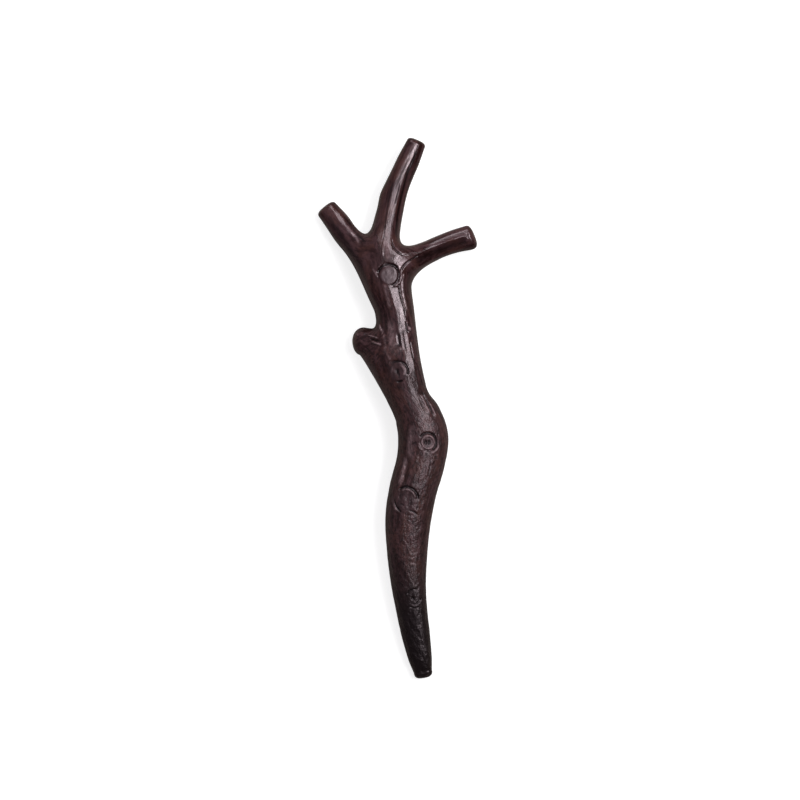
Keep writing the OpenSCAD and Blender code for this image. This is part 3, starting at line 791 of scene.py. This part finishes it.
# Pits and pips: [knot, place right and up as shares of its size, half width, half height,
# depth, which is under zero for a pip]
KNOT_PITS = [
    # Pits get painted shade and pips painted highlight, by their depth.
    [0, -0.40, 0.25, 0.26, 0.30, 0.009],
    [0, 0.30, 0.40, 0.30, 0.22, 0.008],
    [0, 0.10, -0.15, 0.24, 0.34, -0.008],
    [0, -0.35, -0.45, 0.28, 0.22, 0.009],
    [0, 0.55, -0.25, 0.22, 0.30, 0.008],
    [1, -0.10, 0.05, 0.30, 0.46, 0.100],
    [1, 0.05, -0.30, 0.14, 0.20, 0.070],
    [1, -0.55, 0.20, 0.20, 0.30, -0.040],
    [2, -0.30, -0.02, 0.20, 0.34, 0.140],
    [2, 0.14, -0.02, 0.22, 0.34, 0.130],
    [2, -0.08, 0.00, 0.08, 0.26, -0.040],
    [3, -0.55, 0.20, 0.16, 0.36, 0.060],
    [3, -0.30, -0.38, 0.30, 0.16, 0.055],
    [3, 0.12, 0.42, 0.34, 0.14, 0.040],
    [3, -0.12, 0.05, 0.26, 0.36, -0.040],
    [3, 0.42, -0.10, 0.14, 0.40, 0.050],
    [3, 0.15, -0.55, 0.20, 0.14, -0.040],
    [4, -0.30, -0.20, 0.22, 0.28, 0.110],
    [4, 0.12, 0.10, 0.13, 0.14, -0.090],
]
# A knot's face ends at this share of its size, and blends out over the next one. Its cuts reach
# twice its size, on skin that faces its way, and a ring fades over these degrees at its ends.
FACE_ENDS_AT = 1.04
FACE_BLENDS_OVER = 0.30
KNOT_REACH = 2.0
FACES_LIKE_KNOT = 0.1
RING_FADE = 18


def knot_frame(row):
    """Centre of a knot on the skin, and the directions to the right, up and out of it."""
    share = np.array([row[0]])
    middle = shaft.middle(share)[0]
    edge = shaft.edge(share, LEFT if row[1] > 0 else RIGHT)[0]
    x, y = mix(middle, edge, abs(row[1]))
    nearest = on_skin(x, y)
    centre = np.array([x, y, skin[nearest][2]])
    out = normals[nearest]
    up = np.append(shaft.middle(share - NEARBY)[0] - shaft.middle(share + NEARBY)[0], 0)
    up -= out * (up @ out)
    up /= np.linalg.norm(up)
    return centre, np.cross(up, out), up, out


knots = []
for row in KNOT_ROWS:
    centre, right_way, up, out = knot_frame(row)
    gap = skin - centre
    near = front[np.linalg.norm(gap[front], axis=1) < KNOT_REACH * max(row[2], row[3])]
    near = near[(normals[near] @ out) > FACES_LIKE_KNOT]
    gap = gap[near]
    x = gap @ right_way / row[2]
    y = gap @ up / row[3]
    knots.append((near, x, y, (row[2] + row[3]) / 2))
    inside = smooth((FACE_ENDS_AT - np.hypot(x, y)) / FACE_BLENDS_OVER)
    push[near] += (row[4] - gap @ out) * inside * row[5]
    disc[near] = np.maximum(disc[near], inside * row[5])
for number, share, first, last, half_width, depth in KNOT_RINGS:
    near, x, y, size = knots[number]
    off = np.abs(np.hypot(x, y) - share) * size / half_width
    angle = (np.degrees(np.arctan2(y, x)) - first) % 360
    span = last - first
    if span >= 360:
        window = 1.0
    else:
        window = smooth(angle / RING_FADE) * smooth((span - angle) / RING_FADE) * (angle < span)
    profile = 0.5 + 0.5 * np.cos(math.pi * np.clip(off, 0, 1))
    take_off(near, depth * profile * window)
for number, right_share, up_share, half_width, half_height, depth in KNOT_PITS:
    near, x, y, size = knots[number]
    off = np.hypot((x - right_share) * size / half_width, (y - up_share) * size / half_height)
    take_off(near, depth * (0.5 + 0.5 * np.cos(math.pi * np.clip(off, 0, 1))))

# A bud on the right of the shaft, level with the stub, with a nick at its left
BUD = (2.05, -5.69)
BUD_RADIUS = 0.24
BUD_HEIGHT = 0.16
BUD_NICK = [(1.75, -5.0), (1.8, -5.45), (1.86, -5.85), (2.1, -6.05)]
# The bud gets painted highlight by its height.
gap = skin[front] - skin[on_skin(*BUD)]
off = np.clip(np.linalg.norm(gap, axis=1) / BUD_RADIUS, 0, 1)
take_off(front, -BUD_HEIGHT * (1 - off ** 2) ** 1.5)
gouge(BUD_NICK, 0.12, 0.10, (0.3, 0.2))

# Hand finish
# Under the polish the face keeps long shallow flutes, and towards the tip a mottle of short
# dents that follow the grain. The underside has the same flutes and fewer dents.
FLUTE_DEPTH = 0.026
MOTTLE_DEPTH = 0.036
RIPPLE_DEPTH = 0.012
# Heights from the fork where the dents begin and the crown begins, and how long each takes
DENTS_FROM = -7
DENTS_OVER = 12
CROWN_FROM = -3
CROWN_OVER = 4
# The underside and the steep edges get less of it all.
UNDERSIDE_SHARE = 0.6
EDGE_SHARE = 0.4
EDGE_FACES_UP = 0.6


def grain_noise(wide, long, seed):
    """Seeded noise along the grain: cells this wide and this long, in mm."""
    cells = grain / np.array([wide, long, wide])
    return np.array([noise.noise(Vector((x, y, z + seed))) for x, y, z in cells.tolist()])


toward_tip = smooth((DENTS_FROM - grain[:, 1]) / DENTS_OVER)
on_crown = smooth((grain[:, 1] - CROWN_FROM) / CROWN_OVER)
flutes = grain_noise(0.55, 7.0, 3.0)
mottle = grain_noise(0.38, 0.62, 11.0)
ripple = grain_noise(0.19, 0.27, 23.0)
less_at_edges = mix(EDGE_SHARE, 1, smooth(np.abs(normals[:, 2]) / EDGE_FACES_UP))
worked = np.where(on_front, 1.0, UNDERSIDE_SHARE) * less_at_edges
push += worked * (FLUTE_DEPTH * flutes * mix(1, 0.6, toward_tip) * mix(1, 0.4, on_crown)
                  + MOTTLE_DEPTH * mottle * mix(0.06, 1, toward_tip)
                  + RIPPLE_DEPTH * ripple * mix(0.10, 1, toward_tip))

# No dent hangs lower than the foot that the stick rests on.
REST_CLEARANCE = 0.002
# A cut this deep, in mm, gets full painted shade, and a place this proud gets full painted
# highlight; a lower one gets less than its height says.
FULL_DEPTH = 0.08
PROUD_POWER = 1.5
MM = 0.001
carved = skin + normals * push[:, None]
carved[:, 2] = np.maximum(carved[:, 2], skin[:, 2].min() + REST_CLEARANCE)
stick_mesh.vertices.foreach_set("co", ((carved + home) * MM).ravel())
stick_mesh.polygons.foreach_set("use_smooth", [True] * len(faces))
grain_attribute = stick_mesh.attributes.new("grain", "FLOAT_VECTOR", "POINT")
grain_attribute.data.foreach_set("vector", grain.ravel())
# The cut mask is painted shade and the proud mask is painted highlight.
for name, values in (("cut", np.clip(painted_shade_and_highlight / FULL_DEPTH, 0, 1)),
                     ("proud", np.clip(-painted_shade_and_highlight / FULL_DEPTH, 0, 1) ** PROUD_POWER),
                     ("end_grain", disc)):
    mask = stick_mesh.attributes.new(name, "FLOAT", "POINT")
    mask.data.foreach_set("value", values)
stick_mesh.update()
stick = bpy.data.objects.new("carved_stick", stick_mesh)
bpy.context.collection.objects.link(stick)
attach(stick, "root")
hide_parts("stick")

# Polished dark wood
# Very dense purplish brown wood, oiled and polished: glossy on the crown and the upper shaft,
# duller and nearly black towards the tip, with painted shade in the cuts and painted highlight on
# high spots.
wood = bpy.data.materials.new("polished_dark_wood")
wood.use_nodes = True
tree = wood.node_tree
shader = tree.nodes["Principled BSDF"]


def add(kind, **sockets):
    made = tree.nodes.new(kind)
    for name, value in sockets.items():
        made.inputs[name.replace("_", " ")].default_value = value
    return made


def join(source, output, target, socket):
    tree.links.new(source.outputs[output], target.inputs[socket])


def attribute(name):
    made = tree.nodes.new("ShaderNodeAttribute")
    made.attribute_name = name
    return made


def remap(source, output, low, high, to_low, to_high):
    made = tree.nodes.new("ShaderNodeMapRange")
    made.interpolation_type = "SMOOTHSTEP"
    join(source, output, made, "Value")
    for socket, value in (("From Min", low), ("From Max", high), ("To Min", to_low),
                          ("To Max", to_high)):
        made.inputs[socket].default_value = value
    return made


def blend(base, over, factor):
    """Two colours mixed by a factor; each is a colour or a node's (node, output)."""
    made = tree.nodes.new("ShaderNodeMix")
    made.data_type = "RGBA"
    for socket, value in ((6, base), (7, over), (0, factor)):
        if hasattr(value[0], "outputs"):
            tree.links.new(value[0].outputs[value[1]], made.inputs[socket])
        else:
            made.inputs[socket].default_value = value
    return made


def times(first, first_output, second, second_output):
    made = tree.nodes.new("ShaderNodeMath")
    made.operation = "MULTIPLY"
    join(first, first_output, made, 0)
    join(second, second_output, made, 1)
    return made


def plus_share(base, base_output, amount, mask):
    """A value with this amount of a mask added."""
    made = tree.nodes.new("ShaderNodeMath")
    made.operation = "MULTIPLY_ADD"
    made.inputs[1].default_value = amount
    join(mask, "Fac", made, 0)
    join(base, base_output, made, 2)
    return made


def grain_texture(scale, detail, roughness):
    """Noise stretched along the grain; the scale is cells per mm across, along and down."""
    stretch = tree.nodes.new("ShaderNodeMapping")
    stretch.inputs["Scale"].default_value = scale
    join(grain_place, "Vector", stretch, "Vector")
    made = add("ShaderNodeTexNoise", Scale=1.0, Detail=detail, Roughness=roughness)
    join(stretch, "Vector", made, "Vector")
    return made


NEAR_BLACK = (0.0030, 0.0015, 0.0016, 1)
DARK_BROWN = (0.020, 0.0073, 0.0072, 1)
PLUM_BROWN = (0.054, 0.0250, 0.0275, 1)
WARM_BROWN = (0.067, 0.0270, 0.0230, 1)
# Pale colour painted on proud places and sheen streaks as highlight
PAINTED_HIGHLIGHT_BROWN = (0.200, 0.1330, 0.1430, 1)
END_GRAIN = (0.038, 0.0215, 0.0255, 1)
REFLECTION_TINT = (1.0, 0.84, 0.90, 1)
FLECK_ROUGHNESS = 0.11
DISC_ROUGHNESS = 0.25
PORE_DEPTH = 0.000035
DENT_DEPTH = 0.00007
grain_place = attribute("grain")
painted_shade_mask = attribute("cut")
painted_highlight_mask = attribute("proud")
disc_mask = attribute("end_grain")
split = tree.nodes.new("ShaderNodeSeparateXYZ")
join(grain_place, "Vector", split, "Vector")
streaks = grain_texture((2.2, 0.22, 2.2), 5.0, 0.62)
patches = grain_texture((0.9, 0.35, 0.9), 4.0, 0.60)
flecks = grain_texture((5.0, 2.4, 5.0), 4.0, 0.65)
pores = grain_texture((9.0, 1.2, 9.0), 3.0, 0.60)

# Masks of the colours; heights along the grain are in mm from the fork.
streak_fac = remap(streaks, "Fac", 0.42, 0.60, 0.0, 1.0)
patch_fac = remap(patches, "Fac", 0.46, 0.64, 0.0, 0.60)
fleck_fac = remap(flecks, "Fac", 0.46, 0.62, 0.0, 0.72)
fleck_share = remap(split, "Y", -6.0, 1.5, 1.0, 0.40)
fewer_flecks = times(fleck_fac, "Result", fleck_share, "Result")
painted_highlight_share = remap(flecks, "Fac", 0.40, 0.60, 1.0, 0.40)
painted_highlight_fac = times(painted_highlight_mask, "Fac", painted_highlight_share, "Result")
tip_fac = remap(split, "Y", -32.0, -24.0, 0.98, 0.0)
body = blend(DARK_BROWN, PLUM_BROWN, (streak_fac, "Result"))
body = blend((body, 2), WARM_BROWN, (patch_fac, "Result"))
body = blend((body, 2), NEAR_BLACK, (fewer_flecks, "Value"))
body = blend((body, 2), END_GRAIN, (disc_mask, "Fac"))
# Painted highlight on proud places and painted sheen along the streaks, broken up by the flecks
body = blend((body, 2), PAINTED_HIGHLIGHT_BROWN, (painted_highlight_fac, "Value"))
# Painted shade in the cuts, on the facets and along the shade lines
body = blend((body, 2), NEAR_BLACK, (painted_shade_mask, "Fac"))
body = blend((body, 2), NEAR_BLACK, (tip_fac, "Result"))
join(body, 2, shader, "Base Color")

# The crown is glossier than the lower shaft, and end grain takes less polish.
dull = remap(split, "Y", -17.0, 0.5, 0.34, 0.09)
rough = plus_share(dull, "Result", FLECK_ROUGHNESS, flecks)
disc_rough = plus_share(rough, "Value", DISC_ROUGHNESS, disc_mask)
join(disc_rough, "Value", shader, "Roughness")
shader.inputs["Specular IOR Level"].default_value = 0.5
shader.inputs["Specular Tint"].default_value = REFLECTION_TINT

pore_bump = add("ShaderNodeBump", Strength=0.35, Distance=PORE_DEPTH)
join(pores, "Fac", pore_bump, "Height")
dents = grain_texture((4.6, 3.4, 4.6), 2.0, 0.55)
dent_share = remap(split, "Y", -17.0, -5.0, 1.0, 0.05)
dent_height = times(dents, "Fac", dent_share, "Result")
dent_bump = add("ShaderNodeBump", Strength=1.0, Distance=DENT_DEPTH)
join(dent_height, "Value", dent_bump, "Height")
join(pore_bump, "Normal", dent_bump, "Normal")
join(dent_bump, "Normal", shader, "Normal")
stick_mesh.materials.append(wood)

# Floor
# A plain pale board that the stick lies on, lit a little from within so that it reads white.
# The polished wood mirrors a duller board than the one that is seen, so its edges stay dark.
FLOOR_REACH = 1.5
BOARD_GREY = (0.42, 0.42, 0.42, 1)
BOARD_GLOW = 0.80
MIRRORED_BOARD = (0.27, 0.23, 0.21, 1)
floor_mesh = bpy.data.meshes.new("pale_floor")
corners = [(x * FLOOR_REACH, y * FLOOR_REACH, 0) for x, y in ((-1, -1), (1, -1), (1, 1), (-1, 1))]
floor_mesh.from_pydata(corners, [], [(0, 1, 2, 3)])
floor = bpy.data.objects.new("pale_floor", floor_mesh)
bpy.context.collection.objects.link(floor)
board = bpy.data.materials.new("pale_board")
board.use_nodes = True
board_nodes = board.node_tree.nodes
board_links = board.node_tree.links
white_side = board_nodes["Principled BSDF"]
white_side.inputs["Base Color"].default_value = BOARD_GREY
white_side.inputs["Roughness"].default_value = 0.85
white_side.inputs["Specular IOR Level"].default_value = 0.1
white_side.inputs["Emission Color"].default_value = (1, 1, 1, 1)
white_side.inputs["Emission Strength"].default_value = BOARD_GLOW
dull_side = board_nodes.new("ShaderNodeBsdfDiffuse")
dull_side.inputs["Color"].default_value = MIRRORED_BOARD
seen = board_nodes.new("ShaderNodeLightPath")
either = board_nodes.new("ShaderNodeMixShader")
board_links.new(seen.outputs["Is Camera Ray"], either.inputs[0])
board_links.new(dull_side.outputs[0], either.inputs[1])
board_links.new(white_side.outputs[0], either.inputs[2])
board_links.new(either.outputs[0], board_nodes["Material Output"].inputs["Surface"])
floor_mesh.materials.append(board)

# Light
# Soft panels hang to the right: a near and a far one, a narrow bright strip, a dim one nearer
# overhead and a small lamp for the tines. Three more stand past the crown. The room is half lit.

# [name, place in metres, what it faces, turn, width, height, radiance]; the raked ones are turned
# this many degrees, so that their long side lies nearly along the stick.
RAKED = 68
PANELS = [
    ["right_near_panel", (0.50, 0.20, 0.80), (0.50, 0.1999, 0), RAKED, 0.75, 0.32, 6.2],
    ["right_far_panel", (0.75, 0.70, 0.80), (0.75, 0.6999, 0), RAKED, 0.40, 0.28, 4.0],
    ["right_strip", (0.41, 0.224, 0.80), (0.41, 0.2239, 0), RAKED, 0.75, 0.05, 18],
    ["dim_overhead_panel", (0.24, 0.305, 0.80), (0.24, 0.3049, 0), RAKED, 0.75, 0.24, 1.3],
    ["small_back_panel", (-0.02, 0.95, 0.80), (-0.02, 0.9499, 0), 0, 0.26, 0.30, 3.2],
    ["tine_lamp", (0.415, 0.075, 0.80), (0.415, 0.0749, 0), RAKED, 0.08, 0.03, 90],
    ["back_right_panel", (0.48, 0.80, 0.80), (0, 0, 0), 0, 0.40, 0.32, 6.0],
    ["back_left_panel", (-0.15, 1.30, 0.50), (0, 0, 0), 0, 0.60, 0.35, 6.0],
]
for name, place, faces_to, turn, width, height, radiance in PANELS:
    way = Vector(faces_to) - Vector(place)
    data = bpy.data.lights.new(name, "AREA")
    data.shape = "RECTANGLE"
    data.size = width
    data.size_y = height
    data.energy = radiance * math.pi * width * height
    light = bpy.data.objects.new(name, data)
    light.location = place
    facing = way.to_track_quat("-Z", "Y").to_matrix()
    light.rotation_euler = (facing @ Matrix.Rotation(math.radians(turn), 3, "Z")).to_euler()
    bpy.context.collection.objects.link(light)

# The room is pale overhead and to the left, and dark behind the lamps and in front:
# [axis, where it is darkest, where it is pale, share of light where it is darkest]
ROOM_SHADES = [
    ["X", 0.50, 0.02, 0.04],
    ["X", -0.90, -0.10, 0.50],
    ["Y", -0.60, 0.05, 0.25],
]
ROOM_LIGHT = 0.36
ROOM_COLOUR = (0.96, 0.88, 0.97, 1)
world = bpy.data.worlds.new("half_lit_room")
world.use_nodes = True
room = world.node_tree
direction = room.nodes.new("ShaderNodeTexCoord")
parts = room.nodes.new("ShaderNodeSeparateXYZ")
room.links.new(direction.outputs["Generated"], parts.inputs["Vector"])
lit = room.nodes.new("ShaderNodeValue")
lit.outputs["Value"].default_value = ROOM_LIGHT
for axis, dark_at, pale_at, dark in ROOM_SHADES:
    share = room.nodes.new("ShaderNodeMapRange")
    share.interpolation_type = "SMOOTHSTEP"
    room.links.new(parts.outputs[axis], share.inputs["Value"])
    for socket, value in (("From Min", dark_at), ("From Max", pale_at), ("To Min", dark),
                          ("To Max", 1.0)):
        share.inputs[socket].default_value = value
    shaded = room.nodes.new("ShaderNodeMath")
    shaded.operation = "MULTIPLY"
    room.links.new(share.outputs["Result"], shaded.inputs[0])
    room.links.new(lit.outputs["Value"], shaded.inputs[1])
    lit = shaded
room.links.new(lit.outputs["Value"], room.nodes["Background"].inputs["Strength"])
room.nodes["Background"].inputs["Color"].default_value = ROOM_COLOUR
bpy.context.scene.world = world
bpy.context.scene.view_settings.view_transform = "Standard"

# Camera
# It looks straight down through a long lens, with the crown at the top of the picture. A pixel
# spans the same length everywhere, as the stick is thin for the camera's distance.
PICTURE = 800
PIXEL = 0.0906 * MM
FRAME_MIDDLE = (0.22 * MM, 0.76 * MM)
FOCUS_HEIGHT = 2.3 * MM
LENS = 300
SENSOR = 36
camera_data = bpy.data.cameras.new("camera")
camera_data.lens = LENS
camera_data.sensor_width = SENSOR
distance = PICTURE * PIXEL * LENS / SENSOR
camera_data.clip_start = 0.01
camera_data.clip_end = 20
camera = bpy.data.objects.new("camera", camera_data)
camera.location = (FRAME_MIDDLE[0], FRAME_MIDDLE[1], FOCUS_HEIGHT + distance)
camera.rotation_euler = (0, 0, 0)
bpy.context.collection.objects.link(camera)
bpy.context.scene.camera = camera
